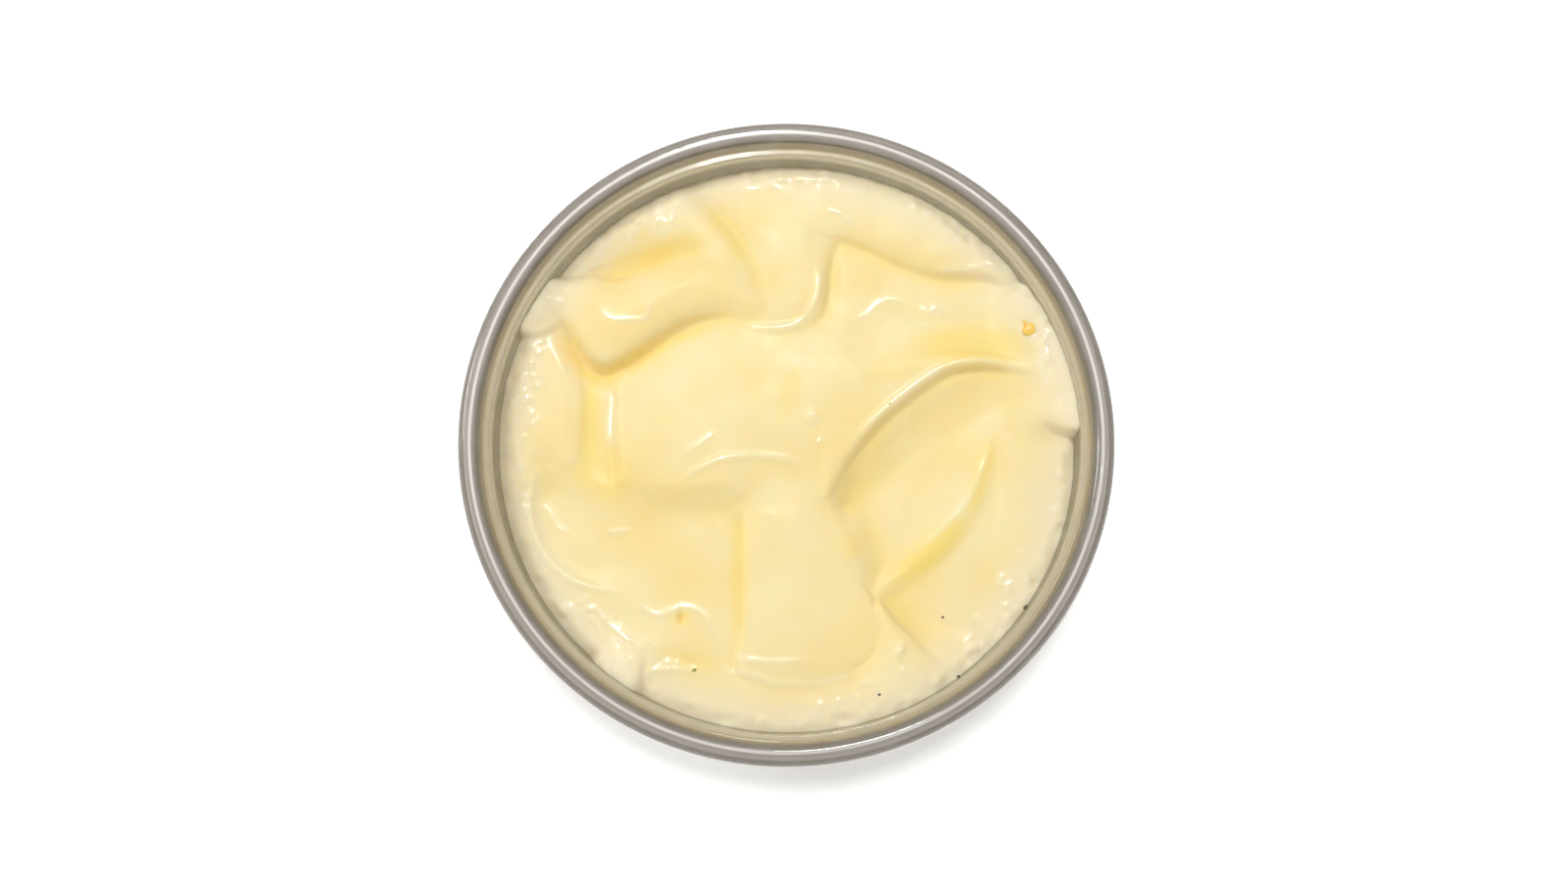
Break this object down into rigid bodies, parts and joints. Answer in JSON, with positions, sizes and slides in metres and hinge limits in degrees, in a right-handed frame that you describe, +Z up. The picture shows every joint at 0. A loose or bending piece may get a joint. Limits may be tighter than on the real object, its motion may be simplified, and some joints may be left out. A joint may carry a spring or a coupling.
{
  "type": "garlic sauce cup",
  "caption": "Round clear plastic tub with a rolled rim, full of thick pale yellow garlic sauce with spooned folds on top, open, no lid.",
  "frame": {"origin": "centre of the ring that the cup stands on, on the surface under it", "axes": "+Z up out of the open mouth; the sauce's deep scooped hollow lies towards +X, its thick dollop towards -X and +Y"},
  "size_m": [0.117, 0.117, 0.042],
  "materials": {
    "clear_plastic": "clear moulded plastic, glossy, faintly warm grey",
    "garlic_sauce": "smooth thick emulsion, soft moist gloss"
  },
  "bodies": {
    "root": {"cup": "clear_plastic", "sauce": "garlic_sauce"}
  },
  "joints": []
}
